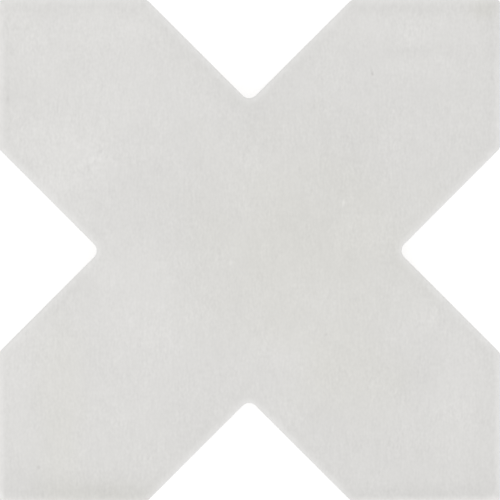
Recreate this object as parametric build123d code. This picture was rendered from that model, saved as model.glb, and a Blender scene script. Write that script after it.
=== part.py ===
from build123d import *

import os
from math import ceil, sqrt

# Cross-shaped glazed ceramic tile, the partner of an eight-pointed star tile.
# It is one pressed and fired piece. Four arms run along the diagonals of a square,
# and each ends in a right-angled point at a corner of that square. The notches
# between the arms take the points of the neighbouring star tiles. The glazed face
# has a rolled edge, the foot of the side is chamfered, and the back has shallow
# square pockets that key the tile into its adhesive bed.
#
# The origin is the middle of the back, +Z leaves the glazed face, and X and Y run
# along the sides of the square.

# Driving dimensions, in millimetres.
TILE_WIDTH = 120.0  # side of the square that the tile fills
ARM_WIDTH = 50.2  # across each diagonal arm, side to side
THICKNESS = 9.0  # back to glazed face
FACE_EDGE_RADIUS = 0.8  # rolled edge of the glazed face
TIP_FLAT_RADIUS = 0.3  # plan radius of the flat face at an arm's point
SHOULDER_FLAT_RADIUS = 1.2  # plan radius of the flat face at an arm's shoulder
NOTCH_RADIUS = 2.2  # plan radius at the foot of a notch
BACK_CHAMFER = 0.5  # foot of the side
KEY_DEPTH = 0.6  # back pockets
KEY_RIB = 2.0  # between back pockets
KEY_MARGIN = 4.0  # plain rim around the back pockets
KEY_HALF_ROWS = 2  # pockets from an arm's axis to its side, so that ribs cross at the origin
KEY_LEAST_SHARE = 0.4  # a pocket cut down by the rim to less than this is left out


def plan_outline():
    """The tile's outline seen from above, as a face on the XY plane."""
    half = TILE_WIDTH / 2
    notch_foot = ARM_WIDTH / sqrt(2)  # from the middle to a notch's sharp corner
    notch_half = half - notch_foot  # half the mouth of a notch
    tip_radius = TIP_FLAT_RADIUS + FACE_EDGE_RADIUS
    shoulder_radius = SHOULDER_FLAT_RADIUS + FACE_EDGE_RADIUS
    one_arm = [
        ((notch_foot, 0), NOTCH_RADIUS),
        ((half, notch_half), shoulder_radius),
        ((half, half), tip_radius),
        ((notch_half, half), shoulder_radius),
    ]
    points = []
    radii = []
    for quarter in range(4):
        for point, radius in one_arm:
            points.append(Vector(*point).rotate(Axis.Z, 90 * quarter))
            radii.append(radius)
    return make_face(FilletPolyline(*points, radius=radii, close=True))


def back_pockets(outline):
    """The pockets' faces: square cells in rows along the arms, kept inside the rim."""
    pitch = (ARM_WIDTH / 2 - KEY_MARGIN + KEY_RIB / 2) / KEY_HALF_ROWS
    side = pitch - KEY_RIB
    reach = TILE_WIDTH / sqrt(2)  # middle to an arm's point
    count = 2 * ceil(reach / pitch)
    cells = Rot(0, 0, 45) * GridLocations(pitch, pitch, count, count)
    squares = Sketch() + [cell * Rectangle(side, side) for cell in cells]
    clipped = squares & offset(outline, -KEY_MARGIN, kind=Kind.INTERSECTION)
    least_area = KEY_LEAST_SHARE * side**2
    return Sketch() + [face for face in clipped.faces() if face.area >= least_area]


def cross_tile():
    """The whole tile, with its back on the XY plane."""
    outline = plan_outline()
    tile = extrude(outline, THICKNESS)
    tile = fillet(tile.faces().sort_by(Axis.Z)[-1].edges(), FACE_EDGE_RADIUS)
    tile = chamfer(tile.faces().sort_by(Axis.Z)[0].edges(), BACK_CHAMFER)
    return tile - extrude(back_pockets(outline), KEY_DEPTH, dir=(0, 0, 1))


os.makedirs("parts", exist_ok=True)
export_step(cross_tile(), "parts/cross_tile.step")
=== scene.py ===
from collections import namedtuple
from itertools import chain
from math import atan2, ceil, copysign, cos, pi, sin, sqrt, tan

import bpy
import numpy as np
from mathutils import Matrix, Vector, noise
from mathutils.geometry import delaunay_2d_cdt


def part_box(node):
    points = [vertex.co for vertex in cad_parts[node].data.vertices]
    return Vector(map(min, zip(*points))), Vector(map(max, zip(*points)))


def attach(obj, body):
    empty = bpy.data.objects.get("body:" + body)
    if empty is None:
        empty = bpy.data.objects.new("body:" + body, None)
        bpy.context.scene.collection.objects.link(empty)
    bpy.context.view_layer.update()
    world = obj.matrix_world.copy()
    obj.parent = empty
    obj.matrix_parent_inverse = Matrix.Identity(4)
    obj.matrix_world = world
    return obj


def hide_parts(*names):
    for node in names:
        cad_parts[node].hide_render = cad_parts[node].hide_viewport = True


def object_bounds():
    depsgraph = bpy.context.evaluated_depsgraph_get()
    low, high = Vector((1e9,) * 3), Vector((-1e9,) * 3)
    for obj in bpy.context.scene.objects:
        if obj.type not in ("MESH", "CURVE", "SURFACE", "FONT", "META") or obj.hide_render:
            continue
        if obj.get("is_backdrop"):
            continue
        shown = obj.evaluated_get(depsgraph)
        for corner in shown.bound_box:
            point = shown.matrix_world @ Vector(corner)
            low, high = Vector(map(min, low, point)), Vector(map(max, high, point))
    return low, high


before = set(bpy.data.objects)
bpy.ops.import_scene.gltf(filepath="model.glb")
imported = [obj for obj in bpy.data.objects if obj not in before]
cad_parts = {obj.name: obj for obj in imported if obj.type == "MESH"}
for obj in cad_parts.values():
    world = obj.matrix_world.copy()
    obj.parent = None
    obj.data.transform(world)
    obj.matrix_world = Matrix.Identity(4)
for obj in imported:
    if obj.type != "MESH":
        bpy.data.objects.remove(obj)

# A cross-shaped ceramic tile with a pale satin glaze, lying on its back on a white floor
# and seen straight from above. It is one piece. The mesh follows the solid's plan and
# section and adds what is too fine for it: a pillowed and gently uneven face, a pinhole,
# dents and specks, and glaze that thins over the rolled edge and ends on the side. The
# rim's paleness is partly thin glaze and partly painted highlight that offsets the rolled
# edge's shade, and the pinhole and dents are darkened with painted shade.

cad_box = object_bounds()

MM = 0.001
TILE_NODE = "cross_tile"

# Plan and section of the solid.
tile_low, tile_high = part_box(TILE_NODE)
TILE_WIDTH = tile_high.x - tile_low.x
THICKNESS = tile_high.z - tile_low.z
ARM_WIDTH = 50.2 * MM
FACE_EDGE_RADIUS = 0.8 * MM
TIP_RADIUS = 1.1 * MM
SHOULDER_RADIUS = 2.0 * MM
NOTCH_RADIUS = 2.2 * MM
BACK_CHAMFER = 0.5 * MM
KEY_DEPTH = 0.6 * MM
KEY_RIB = 2.0 * MM
KEY_MARGIN = 4.0 * MM
KEY_HALF_ROWS = 2
KEY_LEAST_SHARE = 0.4

# Mesh fineness.
OUTLINE_STEP = 0.6 * MM
ARC_STEPS = 8
SIDE_ROWS = 24
EDGE_STEPS = 8
FACE_STEP = 0.8 * MM
JOIN_DISTANCE = 1e-5 * MM  # points closer than this are one point
SHARP_ANGLE = pi / 6  # an edge that turns more than this stays sharp

# Fine relief of the face.
PILLOW_FALL = 0.3 * MM  # from the face's middle to its rim
PILLOW_REACH = 9.0 * MM  # from the rim to where the face is level
WAVE_HEIGHT = 0.10 * MM  # unevenness, crest to trough
WAVE_LENGTH = 16.0 * MM

# Where the glaze is thin or ends. The rim is paler partly from thin glaze and partly as painted
# highlight that offsets the rolled edge's shade.
RIM_THINNING_AND_HIGHLIGHT = 0.92  # share of the glaze that is lost at the outline
RIM_REACH = 0.6 * MM  # how fast it comes back inside the outline
RIM_STRAY = 0.35  # how much that reach varies along the rim
RIM_STRAY_LENGTH = 2.2 * MM
RIM_FALL = 1.2 * MM  # how far the thinning goes on down the side
RIM_POOLED = 0.05  # how much shorter that reach is for each tone that the glaze is darker
RIM_LEAST = 0.3  # the share of it that is always left
GLAZE_DROP = 3.4 * MM  # glaze line below the face
GLAZE_WAVER = 1.1 * MM  # how far the glaze line strays
GLAZE_WAVER_LENGTH = 5.5 * MM
GLAZE_WAVER_DETAIL = (1.0, 2.0, 3)  # how its finer waves weaken and shorten, and the number of sizes
GLAZE_FADE = 0.3 * MM  # half the width of the glaze line
GLAZE_SKIN = 0.1 * MM  # thickness of the glaze at its line

# Colours, as levels from 0 to 255. A tone is a step up or down from the glaze's own level.
GLAZE = (219.1, 218.0, 215.7)
TONE_RANGE = 16.0
WARM_SHARE = 0.99  # of the blue that is left at a warmth of 1
# The rim's colour, paler than both glaze and body: thin glaze, made paler still as painted highlight
# that offsets the rolled edge's shade.
THIN_GLAZE_AND_HIGHLIGHT = (244.0, 243.5, 242.0)
BODY = (214.0, 205.0, 192.0)
BODY_SPECKLE = 0.10  # share of its colour by which the bare body varies

# Pale and dark areas of the glaze: middle, half width and half height in millimetres, and tone. They
# are partly the glaze's own uneven tone and partly painted light: the larger ones make the face paler
# on the left and darker towards the right.
Patch = namedtuple("Patch", "x y across up tone")
PATCHES = (
    Patch(-39, 41, 22, 25, 2.5),  # pale upper left arm
    Patch(-42, 21, 11, 11, 2.5),  # and its palest spot
    Patch(-32, 55, 9, 6, 2.2),  # its pale outer part
    Patch(-54, 54, 8, 4, 1.6),
    Patch(-40, 59.4, 20, 1.5, -2.5),  # and its darker upper edge
    Patch(-49, 14, 4.5, 4.5, 3.2),  # along the left notch
    Patch(-42, 8, 4, 4, 2.6),
    Patch(-36, -5, 4, 4, 2.2),
    Patch(-54, -21, 5, 4, 2.0),
    Patch(-28, -12, 10, 12, 3.3),  # pale spot beside the left notch
    Patch(-45, -17, 9, 8, 1.4),
    Patch(-34, -30, 24, 14, 1.3),  # lower left arm
    Patch(-57, -36, 6, 20, 2.6),  # its outer edge
    Patch(17, 6, 27, 29, -2.6),  # dark middle, towards the right
    Patch(-17, 12, 11, 10, -1.2),
    Patch(41, 26, 18, 12, -1.0),  # upper right arm
    Patch(37.5, 25, 5, 11, 2.3),
    Patch(36, 53.5, 18, 5, 3.2),  # and the pale streaks along it
    Patch(44, 44, 12, 2, 1.2),
    Patch(37, 47.4, 7, 1, -2.2),  # with a dark one between them
    Patch(30, -36, 19, 19, -1.6),  # lower right arm
    Patch(37, -28, 7, 6, -1.4),  # its darkest spot
    Patch(50, -33, 5, 13, 2.0),  # and its pale outer part
    Patch(43, -14, 5, 5, 2.0),
    Patch(55, -53, 5, 6, -2.0),
    Patch(6, -23, 12, 5, 1.6),
    Patch(0, -34, 10, 5, -1.6),  # foot of the lower notch
    Patch(-12, -41, 6, 8, -1.6),  # and its two sides
    Patch(15, -45, 6, 9, -1.6),
    Patch(21, -51, 4, 4, -1.6),
    Patch(36, 58.5, 20, 2.4, -2.0),  # upper edge of the upper right arm
    Patch(56.5, 58, 4, 3.2, -4.4),  # and its dark corner
    Patch(60, 52, 1.2, 9, -4.0),
    Patch(-33, -59.5, 17, 5, -7.5),  # glaze run together along the lower edge
    Patch(-53, -57.5, 7, 4, -4.0),
    Patch(-36, -54, 20, 4, -1.4),
    Patch(41, -59.5, 22, 5, -5.0),
    # Paler along the outermost edges and at the lower corners: thin glaze on the rim and painted
    # highlight that offsets the rolled edge's shade.
    Patch(42, -59.8, 20, 0.7, 5.0),  # thin glaze along the outermost edges
    Patch(59.9, -42, 0.5, 18, 6.0),
    Patch(-59.9, -42, 1, 18, 6.0),
    Patch(-59.9, 36, 1.8, 16, 3.5),
    Patch(-59.7, -58.8, 0.8, 1.6, 14.0),  # and at the lower corners
    Patch(59.2, -59.6, 1.6, 0.6, 8.0),
)
# Warmer areas, with their warmth in place of a tone.
WARM_PATCHES = (
    Patch(12, 2, 28, 24, 2.0),  # the middle
    Patch(25, -29, 13, 13, 1.5),  # lower right arm
    Patch(-45, -38, 6, 24, 1.4),  # a band down the lower left arm
    Patch(-34, -59.5, 16, 5, 1.6),  # where the glaze has run together
    Patch(56.5, 58, 4, 3.2, 1.8),  # the dark corner
)
PATCH_STRAY = 0.35  # how far the patches' outlines wander, as a share of their size
PATCH_STRAY_LENGTH = 11.0 * MM
PATCH_FALL = 3  # how squarely a patch falls off at its outline
CRAWL = Patch(-35.5, 21.5, 8, 8, 15.0)  # lumpy glaze in the palest spot, its tone from low to high
CRAWL_SIZE = 1.5  # size of the lumps in millimetres
RING_TONE = -1.4  # glaze drawn back from the rim
RING_PLACE = 2.1 * MM
RING_WIDTH = 1.2 * MM

# Small marks: middle, half width, half height and rise in millimetres, and tone. The darker tone of the
# pinhole and the dents is painted shade in these hollows.
Mark = namedtuple("Mark", "x y across up rise tone")
MARKS = (
    Mark(29.4, 42.2, 0.50, 0.80, -0.12, -14),  # pinhole
    Mark(29.2, 43.0, 0.45, 0.70, -0.03, -6),
    Mark(-57.6, 36.3, 0.55, 1.40, -0.06, -11),  # shallow dents
    Mark(-50.2, -51.6, 0.60, 0.85, -0.08, -12),
    Mark(18.4, -20.0, 0.45, 0.60, -0.04, -10),
    Mark(22.5, 11.4, 0.55, 1.10, 0.04, 12),  # raised specks
    Mark(-4.4, -2.9, 0.60, 0.90, 0.02, 9),
    Mark(34.4, 33.2, 0.50, 0.70, 0.03, 9),
)
MARK_RINGS = (0.3, 0.6, 0.9, 1.3)  # mesh rows around a mark, as shares of its size
MARK_POINTS = 14

# Fine mottling of the glaze: size of the noise in millimetres and tone from its low to its high end.
CLOUD = (13.0, 6.5)
MOTTLE = (4.5, 4.5)
# Two layers of grain, longer in Y than in X: size in X, tone and its share in Y.
GRAIN = ((0.56, 10.0, 0.65), (0.62, 7.7, 0.28))
GRAIN_DETAIL = 0.5  # finer detail in the noise of the grain and the lumps
CALM = 7.0  # size of the areas where the grain is weaker or stronger
CALM_LEAST, CALM_MOST = 0.1, 1.9
SPECKLE = 0.8  # size of the bare body's speckle
SPECKLE_DETAIL = 3.0
GLAZE_ROUGHNESS = 0.42
BODY_ROUGHNESS = 0.85
ROUGHNESS_PER_TONE = 0.02
PEEL = (1.7, 0.012)  # orange peel: length and height in millimetres
PEEL_DETAIL = 1.0

# The flat map of the finish: the face, the side in four strips above it, and the back
# beside it. Sizes are shares of the map's width.
MAP_NAME = "OFBake"
MAP_GAP = 0.005
MAP_FACE = 0.765  # width of the face
MAP_SIDE = 0.72  # length of one strip
MAP_BACK = 0.215  # width of the back

# Picture: the camera looks straight down, with +Y up.
LENS = 200.0
SENSOR = 36.0
PICTURE_WIDTH = 119.35 * MM  # width of the picture at the rim's height
PICTURE_CENTRE = (0.20 * MM, 0.14 * MM)

# Light, as the share of a plain level that each source gives the face.
SKY_SHARE = 0.88
LAMP_SHARE = 0.09
LAMP_WAY = Vector((-0.08, -0.42, 1.0)).normalized()  # from the tile to the lamp
LAMP_SPREAD = pi / 5  # width of the lamp, as an angle
FLOOR_WIDTH = 60.0
FLOOR_GAP = 0.05 * MM
FLOOR_COLOUR = (0.55, 0.55, 0.55, 1)  # as it lights the tile
SEEN_FLOOR_COLOUR = (0.35, 0.35, 0.35, 1)  # as the camera sees it, with the glow added
SEEN_FLOOR_GLOW = 0.79


# The plan


def sharp_corners():
    """The outline's corners and their plan radii, anticlockwise from the notch on +X."""
    half = TILE_WIDTH / 2
    notch_foot = ARM_WIDTH / sqrt(2)
    notch_half = half - notch_foot
    one_arm = [
        ((notch_foot, 0), NOTCH_RADIUS),
        ((half, notch_half), SHOULDER_RADIUS),
        ((half, half), TIP_RADIUS),
        ((notch_half, half), SHOULDER_RADIUS),
    ]
    corners = []
    for turn in range(4):
        quarter = Matrix.Rotation(turn * pi / 2, 2)
        corners += [(quarter @ Vector(place), radius) for place, radius in one_arm]
    return corners


def corner_arc(before, corner, after, radius):
    """Points and outward normals along one rounded corner."""
    way_in = (corner - before).normalized()
    way_out = (after - corner).normalized()
    turn = atan2(way_in.cross(way_out), way_in.dot(way_out))
    bulge = copysign(radius, turn)
    outward = Vector((way_in.y, -way_in.x))
    centre = corner - way_in * radius * tan(abs(turn) / 2) - outward * bulge
    arc = []
    for step in range(ARC_STEPS + 1):
        normal = Matrix.Rotation(turn * step / ARC_STEPS, 2) @ outward
        arc.append((centre + normal * bulge, normal))
    return arc


def plan_outline():
    """The rounded outline as two arrays: its points, anticlockwise, and their outward normals."""
    corners = sharp_corners()
    count = len(corners)
    arcs = []
    for index, (corner, radius) in enumerate(corners):
        before = corners[index - 1][0]
        after = corners[(index + 1) % count][0]
        arcs.append(corner_arc(before, corner, after, radius))
    loop = []
    for index, arc in enumerate(arcs):
        loop += arc
        start, normal = arc[-1]
        end = arcs[(index + 1) % count][0][0]
        steps = ceil((end - start).length / OUTLINE_STEP)
        loop += [(start.lerp(end, step / steps), normal) for step in range(1, steps)]
    return np.array([point for point, _ in loop]), np.array([normal for _, normal in loop])


outline, outward = plan_outline()


def edge_distance(places):
    """Each plan point's distance from the outline."""
    nearest = np.full(len(places), np.inf)
    for start, end in zip(outline, np.roll(outline, -1, axis=0)):
        along = end - start
        share = np.clip((places - start) @ along / (along @ along), 0, 1)
        gap = places - start - share[:, None] * along
        nearest = np.minimum(nearest, np.hypot(gap[:, 0], gap[:, 1]))
    return nearest


def in_tile(places):
    """Which plan points lie inside the sharp outline."""
    across = np.abs(places @ np.array([[1, 1], [1, -1]])) / sqrt(2)
    in_arm = across.min(axis=1) < ARM_WIDTH / 2
    in_square = np.abs(places).max(axis=1) < TILE_WIDTH / 2
    return in_arm & in_square


# The mesh


def side_section():
    """The side from the back to the face, as pairs of inset and height."""
    shoulder = THICKNESS - FACE_EDGE_RADIUS
    section = [(BACK_CHAMFER, 0.0)]
    section += [(0.0, height) for height in np.linspace(BACK_CHAMFER, shoulder, SIDE_ROWS + 1)]
    for step in range(1, EDGE_STEPS + 1):
        angle = step / EDGE_STEPS * pi / 2
        section.append((FACE_EDGE_RADIUS * (1 - cos(angle)), shoulder + FACE_EDGE_RADIUS * sin(angle)))
    return section


def face_grid():
    """Plan points over the face, in rows along the arms, clear of the rolled edge."""
    reach = TILE_WIDTH / sqrt(2)
    steps = np.arange(-reach, reach, FACE_STEP) + FACE_STEP / 2
    rows = np.stack(np.meshgrid(steps, steps), axis=-1).reshape(-1, 2)
    places = rows @ np.array([[1, 1], [-1, 1]]) / sqrt(2)
    places = places[in_tile(places)]
    clear = edge_distance(places) > FACE_EDGE_RADIUS + FACE_STEP / 2
    return places[clear]


def mark_radius(places, mark):
    """Each plan point's distance from a mark's middle, as a share of the mark's size there."""
    middle = np.array([mark.x, mark.y]) * MM
    size = np.array([mark.across, mark.up]) * MM
    return np.linalg.norm((places - middle) / size, axis=1)


def mark_points(mark):
    """Close plan points in and around a mark."""
    points = [(mark.x * MM, mark.y * MM)]
    for ring in MARK_RINGS:
        for step in range(MARK_POINTS):
            angle = 2 * pi * step / MARK_POINTS
            x = mark.x + mark.across * ring * cos(angle)
            y = mark.y + mark.up * ring * sin(angle)
            points.append((x * MM, y * MM))
    return np.array(points)


def face_points():
    """The face's plan points, closer together at the marks."""
    places = face_grid()
    for mark in MARKS:
        places = places[mark_radius(places, mark) > MARK_RINGS[-1] + FACE_STEP / 2 / (mark.up * MM)]
    return np.vstack([places, *map(mark_points, MARKS)])


def clipped(loop, axis, limit):
    """A plan polygon cut off where it passes a limit on one axis. The limit may be negative."""
    sign = copysign(1, limit)
    kept = []
    for start, end in zip(loop, loop[1:] + loop[:1]):
        gaps = [sign * (limit - point[axis]) for point in (start, end)]
        if gaps[0] >= 0:
            kept.append(start)
        if gaps[0] * gaps[1] < 0:
            kept.append(start.lerp(end, gaps[0] / (gaps[0] - gaps[1])))
    return kept


def polygon_area(loop):
    """The area of a plan polygon."""
    return abs(sum(a.cross(b) for a, b in zip(loop, loop[1:] + loop[:1]))) / 2


def drawn_in(loop, distance):
    """A plan polygon with its corners drawn towards its middle."""
    middle = sum(loop, Vector((0, 0))) / len(loop)
    return [corner + (middle - corner).normalized() * distance for corner in loop]


def back_pockets():
    """The plan polygons of the key pockets in the back."""
    pitch = (ARM_WIDTH / 2 - KEY_MARGIN + KEY_RIB / 2) / KEY_HALF_ROWS
    half_side = (pitch - KEY_RIB) / 2
    count = ceil(TILE_WIDTH / sqrt(2) / pitch)
    limit = TILE_WIDTH / 2 - KEY_MARGIN
    square = [Vector((x, y)) for x, y in ((-1, -1), (1, -1), (1, 1), (-1, 1))]
    turned = Matrix.Rotation(pi / 4, 2)
    arm_rows = range(-KEY_HALF_ROWS, KEY_HALF_ROWS)
    pockets = []
    for row in range(-count, count):
        for column in range(-count, count):
            if row not in arm_rows and column not in arm_rows:
                continue
            middle = Vector((column + 0.5, row + 0.5)) * pitch
            loop = [turned @ (middle + corner * half_side) for corner in square]
            for axis in (0, 1):
                for end in (-limit, limit):
                    loop = clipped(loop, axis, end)
            if polygon_area(loop) >= KEY_LEAST_SHARE * (2 * half_side) ** 2:
                pockets.append(loop)
    return pockets


def filled(loops, inner):
    """Triangles inside the first loop, clear of the other loops and through the inner points.

    They are indices into the loops' points, one loop after the other, followed by the inner points.
    """
    points = [Vector(point) for point in chain(*loops, inner)]
    rims = []
    first = 0
    for loop in loops:
        rims.append(list(range(first, first + len(loop))))
        first += len(loop)
    _, _, faces, origins, _, owners = delaunay_2d_cdt(points, [], rims, 1, JOIN_DISTANCE)
    kept = [face for face, owner in zip(faces, owners) if owner == [0]]
    return [[origins[corner][0] for corner in face] for face in kept]


def plan_noise(places, length, kind=noise.noise, *settings):
    """Smooth noise of a length at each plan point."""
    return np.array([kind(Vector((x, y, 0)) / length, *settings) for x, y in places])


def mark_shape(places, mark):
    """1 at a mark's middle, falling smoothly to 0 at its edge."""
    return np.clip(1 - mark_radius(places, mark) ** 2, 0, 1) ** 2


def face_drop(places, distance):
    """How far the glazed face lies below the solid's flat face, at each plan point."""
    level = np.clip(distance / PILLOW_REACH, 0, 1)
    pillow = PILLOW_FALL * (1 - level) ** 2
    waves = np.clip(plan_noise(places, WAVE_LENGTH), -1, 1)
    drop = pillow + WAVE_HEIGHT * (0.5 - 0.5 * waves)
    for mark in MARKS:
        drop -= mark.rise * MM * mark_shape(places, mark)
    return np.maximum(drop, 0)


def tile_geometry():
    """The whole tile's vertices and faces: the side, the glazed face and the back with its pockets.

    Each vertex also has a place on the flat map of its face.
    """
    vertices = []
    flat = []
    faces = []

    def add(places, height, flat_places=None):
        """Adds plan points at one height and gives their indices."""
        first = len(vertices)
        vertices.extend((x, y, height) for x, y in places)
        flat.extend(places if flat_places is None else flat_places)
        return list(range(first, len(vertices)))

    def bridge(low, high):
        """Adds the band between two closed rows."""
        for k in range(len(low)):
            faces.append((low[k - 1], low[k], high[k], high[k - 1]))

    section = side_section()
    rows = [add(outline - outward * inset, height) for inset, height in section]
    for low, high in zip(rows, rows[1:]):
        bridge(low, high)

    inner = face_points()
    names = rows[-1] + add(inner, THICKNESS)
    rim = outline - outward * section[-1][0]
    faces += [[names[corner] for corner in face] for face in filled([rim], inner)]

    pockets = back_pockets()
    mouths = [add(loop, 0.0) for loop in pockets]
    names = rows[0] + list(chain(*mouths))
    foot = outline - outward * section[0][0]
    faces += [[names[corner] for corner in reversed(face)] for face in filled([foot, *pockets], [])]
    for loop, mouth in zip(pockets, mouths):
        on_map = drawn_in(loop, KEY_DEPTH)  # so that the pocket's walls have some width there
        floor = add(loop, KEY_DEPTH, on_map)
        bridge(floor, mouth)
        faces.append(floor[::-1])
    return np.array(vertices), np.array(flat), faces


def smooth_step(values, low, high):
    """0 below low, 1 above high and smooth between."""
    share = np.clip((values - low) / (high - low), 0, 1)
    return share * share * (3 - 2 * share)


def rim_thinning_and_highlight(places, heights, distance, tone):
    """How much the rim is lightened at each vertex over the rolled edge: thin glaze, and painted
    highlight against the edge's shade.
    """
    shoulder = THICKNESS - FACE_EDGE_RADIUS
    reach = RIM_REACH * (1 + RIM_STRAY * plan_noise(places, RIM_STRAY_LENGTH))
    reach = reach * np.clip(1 + RIM_POOLED * tone, RIM_LEAST, 1)
    raised = smooth_step(heights, shoulder - RIM_FALL, shoulder)
    return RIM_THINNING_AND_HIGHLIGHT * np.exp(-distance / reach) * raised


def bare_body(places, heights):
    """1 below the glaze line and 0 above it."""
    stray = plan_noise(places, GLAZE_WAVER_LENGTH, noise.fractal, *GLAZE_WAVER_DETAIL)
    line = THICKNESS - GLAZE_DROP + GLAZE_WAVER * stray
    return 1 - smooth_step(heights, line - GLAZE_FADE, line + GLAZE_FADE)


def patch_shapes(places, patches):
    """For each patch, 1 at its middle, falling to 0 beyond an outline that wanders."""
    stray = PATCH_STRAY * plan_noise(places, PATCH_STRAY_LENGTH, noise.noise_vector)[:, :2]
    for patch in patches:
        away = (places / MM - (patch.x, patch.y)) / (patch.across, patch.up) + stray
        yield np.exp(-np.linalg.norm(away, axis=1) ** PATCH_FALL)


def patch_sum(places, patches):
    """The patches' tones added up at each vertex."""
    return sum(patch.tone * shape for patch, shape in zip(patches, patch_shapes(places, patches)))


def glaze_tone(places, distance):
    """How much paler or darker than its own level the glaze is at each vertex, with painted light
    across the face and painted shade in the pinhole and dents.
    """
    tone = RING_TONE * np.exp(-(((distance - RING_PLACE) / RING_WIDTH) ** 2))
    # Pale and dark areas: the glaze's own uneven tone, and painted light that is paler on the left and
    # darker to the right.
    tone += patch_sum(places, PATCHES)
    # The marks' tones: painted shade in the pinhole and dents, and paler raised specks.
    for mark in MARKS:
        tone += mark.tone * mark_shape(places, mark)
    return tone


def side_map():
    """Map places of the side's face corners, in the order of the faces: a strip for each quarter."""
    steps = np.linalg.norm(outline - np.roll(outline, 1, axis=0), axis=1)
    ends = np.cumsum(steps)
    quarter = ends[-1] / 4
    strip = (ends - steps / 2) // quarter
    end = ends - strip * quarter
    start = end - steps
    rises = np.linalg.norm(np.diff(side_section(), axis=0), axis=1)
    high = np.cumsum(rises)
    low = high - rises
    scale = MAP_SIDE / quarter
    corners = np.empty((len(rises), len(steps), 4, 2))
    corners[..., 0] = scale * np.stack([start, end, end, start], axis=1) + MAP_GAP
    corners[..., 1] = scale * np.stack([low, low, high, high], axis=1)[:, None] + MAP_FACE + 2 * MAP_GAP
    corners[..., 1] += (strip * (scale * high[-1] + MAP_GAP))[:, None]
    return corners.reshape(-1, 2)


def add_map(mesh, flat, heights):
    """The flat map of the finish, as a UV map on the mesh."""
    shares = flat / TILE_WIDTH + 0.5
    face = MAP_FACE * shares + MAP_GAP
    back = MAP_BACK * shares + (MAP_FACE + 2 * MAP_GAP, MAP_GAP)
    owners = np.empty(len(mesh.loops), np.int32)
    mesh.loops.foreach_get("vertex_index", owners)
    corners = np.where(heights[:, None] > THICKNESS / 2, face, back)[owners]
    side = side_map()
    corners[:len(side)] = side
    mesh.uv_layers.new(name=MAP_NAME).data.foreach_set("uv", corners.astype(np.float32).ravel())


def add_attribute(mesh, name, values):
    """A number for each vertex, for the material to read."""
    layer = mesh.attributes.new(name, "FLOAT", "POINT")
    layer.data.foreach_set("value", np.asarray(values, np.float32))


def tile_piece():
    """The tile, with its fine relief and its vertex attributes."""
    vertices, flat, faces = tile_geometry()
    places = vertices[:, :2].copy()
    heights = vertices[:, 2].copy()
    distance = edge_distance(places)
    bare = bare_body(places, heights)
    rows = len(side_section())
    side = slice(rows * len(outline))
    vertices[side, :2] -= np.tile(outward, (rows, 1)) * GLAZE_SKIN * bare[side, None]
    raised = smooth_step(heights, THICKNESS / 2, THICKNESS)
    vertices[:, 2] -= raised * face_drop(places, distance)
    mesh = bpy.data.meshes.new("cross_tile_glazed")
    mesh.from_pydata(vertices.tolist(), [], faces)
    mesh.validate()
    add_map(mesh, flat, heights)
    tone = glaze_tone(places, distance)
    carried = {
        # The rim's paleness: thin glaze and painted highlight against the rolled edge's shade.
        "thin_and_highlight": rim_thinning_and_highlight(places, heights, distance, tone),
        "bare": bare,
        "tone": tone,
        "warm": patch_sum(places, WARM_PATCHES),
        "crawl": next(patch_shapes(places, [CRAWL])),
    }
    for name, values in carried.items():
        add_attribute(mesh, name, values)
    mesh.shade_smooth()
    mesh.set_sharp_from_angle(angle=SHARP_ANGLE)
    piece = bpy.data.objects.new("cross_tile_glazed", mesh)
    bpy.context.scene.collection.objects.link(piece)
    return piece


# Materials


def node(tree, kind, inputs=None, **settings):
    """Adds a node. Each input, by name or number, takes a plain value or a socket to link from."""
    made = tree.nodes.new("ShaderNode" + kind)
    for name, value in settings.items():
        setattr(made, name, value)
    for key, value in (inputs or {}).items():
        if isinstance(value, bpy.types.NodeSocket):
            tree.links.new(value, made.inputs[key])
        else:
            made.inputs[key].default_value = value
    return made


def math(tree, operation, *values):
    """The result of a Math node."""
    return node(tree, "Math", dict(enumerate(values)), operation=operation).outputs[0]


def mix(tree, share, low, high, **settings):
    """The colour of a Mix node, from low at a share of 0 to high at 1."""
    return node(tree, "Mix", {0: share, 6: low, 7: high}, data_type="RGBA", **settings).outputs[2]


def grey_noise(tree, place, size, detail=2.0):
    """Noise from 0 to 1 of a size in millimetres."""
    inputs = {"Vector": place, "Scale": 1 / (size * MM), "Detail": detail}
    return node(tree, "TexNoise", inputs).outputs[0]


def mottling(tree, place, size, tone, detail=2.0):
    """Noise about zero of a size in millimetres and a tone from its low to its high end."""
    return math(tree, "MULTIPLY_ADD", grey_noise(tree, place, size, detail), tone, -tone / 2)


def carried_number(tree, name):
    """A number that the mesh carries at each vertex."""
    return node(tree, "Attribute", attribute_name=name).outputs["Fac"]


def seen_directly(tree):
    """1 for a ray from the camera, a reflection or glass, and 0 for one that only lights a surface."""
    path = node(tree, "LightPath").outputs
    seen = math(tree, "MAXIMUM", path["Is Camera Ray"], path["Is Glossy Ray"])
    return math(tree, "MAXIMUM", seen, path["Is Transmission Ray"])


def new_material(name):
    """An empty node material and its tree."""
    material = bpy.data.materials.new(name)
    material.use_nodes = True
    material.node_tree.nodes.clear()
    return material, material.node_tree


def linear(levels):
    """A shader colour from levels of 0 to 255, by the sRGB curve."""
    shares = [level / 255 for level in levels]
    return (*[((share + 0.055) / 1.055) ** 2.4 for share in shares], 1)


def glaze_colour(tone):
    """The glaze's shader colour at a tone."""
    return linear([level + tone for level in GLAZE])


def body_colour(share):
    """The bare body's shader colour, lightened or darkened by a share."""
    return (*[value * share for value in linear(BODY)[:3]], 1)


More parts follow.
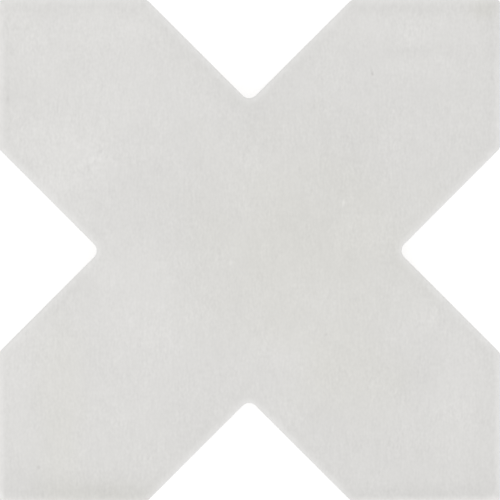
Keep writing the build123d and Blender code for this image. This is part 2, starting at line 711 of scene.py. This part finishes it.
def mottled_tone(tree, place, cloud):
    """The glaze's tone: what the mesh carries, with clouds, mottling, lumps and grain."""
    tone = math(tree, "ADD", carried_number(tree, "tone"), cloud)
    tone = math(tree, "ADD", tone, mottling(tree, place, *MOTTLE))
    lumps = mottling(tree, place, CRAWL_SIZE, CRAWL.tone, GRAIN_DETAIL)
    tone = math(tree, "MULTIPLY_ADD", lumps, carried_number(tree, "crawl"), tone)
    calm = grey_noise(tree, place, CALM)
    calm = math(tree, "MULTIPLY_ADD", calm, CALM_MOST - CALM_LEAST, CALM_LEAST)
    for size, strength, stretch in GRAIN:
        stretched = node(tree, "Mapping", {"Vector": place, "Scale": (1, stretch, 1)}).outputs[0]
        grain = mottling(tree, stretched, size, strength, GRAIN_DETAIL)
        tone = math(tree, "MULTIPLY_ADD", grain, calm, tone)
    return tone


def glaze_finish(tree, tone):
    """The glaze's colour at a tone, warmer in places and pale at the rim, where it is thin and where
    painted highlight offsets the rolled edge's shade.
    """
    share = math(tree, "MULTIPLY_ADD", tone, 0.5 / TONE_RANGE, 0.5)
    glaze = mix(tree, share, glaze_colour(-TONE_RANGE), glaze_colour(TONE_RANGE))
    warm = carried_number(tree, "warm")
    yellowed = (1, 1, WARM_SHARE, 1)
    glaze = mix(tree, warm, glaze, yellowed, blend_type="MULTIPLY", clamp_factor=False)
    # Pale rim: thin glaze and painted highlight.
    return mix(tree, carried_number(tree, "thin_and_highlight"), glaze, linear(THIN_GLAZE_AND_HIGHLIGHT))


def body_finish(tree, place):
    """The bare body's speckled colour."""
    speckle = grey_noise(tree, place, SPECKLE, SPECKLE_DETAIL)
    return mix(tree, speckle, body_colour(1 - BODY_SPECKLE), body_colour(1 + BODY_SPECKLE))


def tile_material():
    """Satin glaze over a pale body that is bare below the glaze line."""
    material, tree = new_material("glazed_ceramic")
    place = node(tree, "TexCoord").outputs["Object"]
    bare = carried_number(tree, "bare")
    cloud = mottling(tree, place, *CLOUD)
    glaze = glaze_finish(tree, mottled_tone(tree, place, cloud))
    colour = mix(tree, bare, glaze, body_finish(tree, place))

    rough = math(tree, "MULTIPLY_ADD", bare, BODY_ROUGHNESS - GLAZE_ROUGHNESS, GLAZE_ROUGHNESS)
    rough = math(tree, "MULTIPLY_ADD", cloud, ROUGHNESS_PER_TONE, rough)
    length, height = PEEL
    bumps = grey_noise(tree, place, length, PEEL_DETAIL)
    peel = node(tree, "Bump", {"Height": bumps, "Distance": height * MM}).outputs[0]
    shader = node(tree, "BsdfPrincipled", {"Base Color": colour, "Roughness": rough, "Normal": peel})
    node(tree, "OutputMaterial", {"Surface": shader.outputs[0]})
    return material


def floor_material():
    """A pale floor that shows white to the camera and keeps the tile's shadow."""
    material, tree = new_material("floor_white")
    glow = node(tree, "Emission", {"Strength": SEEN_FLOOR_GLOW})
    pale = node(tree, "BsdfDiffuse", {"Color": SEEN_FLOOR_COLOUR})
    shown = node(tree, "AddShader", {0: pale.outputs[0], 1: glow.outputs[0]})
    plain = node(tree, "BsdfDiffuse", {"Color": FLOOR_COLOUR})
    both = node(tree, "MixShader", {0: seen_directly(tree), 1: plain.outputs[0], 2: shown.outputs[0]})
    node(tree, "OutputMaterial", {"Surface": both.outputs[0]})
    return material


# The scene


def white_floor():
    """The level floor that the tile lies on."""
    half = FLOOR_WIDTH / 2
    corners = [(-half, -half), (half, -half), (half, half), (-half, half)]
    mesh = bpy.data.meshes.new("floor")
    mesh.from_pydata([(x, y, -FLOOR_GAP) for x, y in corners], [], [(0, 1, 2, 3)])
    mesh.materials.append(floor_material())
    floor = bpy.data.objects.new("floor", mesh)
    bpy.context.scene.collection.objects.link(floor)
    floor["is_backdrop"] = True


def sky():
    """An even pale surround, which the camera sees as white."""
    world = bpy.data.worlds.new("surround")
    bpy.context.scene.world = world
    world.use_nodes = True
    tree = world.node_tree
    tree.nodes.clear()
    strength = math(tree, "MULTIPLY_ADD", seen_directly(tree), 1 - SKY_SHARE, SKY_SHARE)
    light = node(tree, "Background", {"Color": (1, 1, 1, 1), "Strength": strength})
    node(tree, "OutputWorld", {"Surface": light.outputs[0]})


def lamp():
    """A wide soft lamp above the picture's lower edge."""
    light = bpy.data.lights.new("key", "SUN")
    light.angle = LAMP_SPREAD
    light.energy = LAMP_SHARE * pi / LAMP_WAY.z
    holder = bpy.data.objects.new("key", light)
    holder.rotation_euler = (-LAMP_WAY).to_track_quat("-Z", "Y").to_euler()
    bpy.context.scene.collection.objects.link(holder)


def camera():
    """The picture's camera, straight above the tile."""
    data = bpy.data.cameras.new("camera")
    data.lens = LENS
    data.sensor_width = SENSOR
    eye = bpy.data.objects.new("camera", data)
    rim = THICKNESS - FACE_EDGE_RADIUS
    eye.location = (*PICTURE_CENTRE, rim + PICTURE_WIDTH * LENS / SENSOR)
    bpy.context.scene.collection.objects.link(eye)
    bpy.context.scene.camera = eye


tile = tile_piece()
tile.data.materials.append(tile_material())
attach(tile, "root")
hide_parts(TILE_NODE)
white_floor()
sky()
lamp()
camera()
bpy.context.scene.view_settings.view_transform = "Standard"

sizes = {"cad": cad_box, "visual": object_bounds()}
{name: [list(corner) for corner in box] for name, box in sizes.items()}
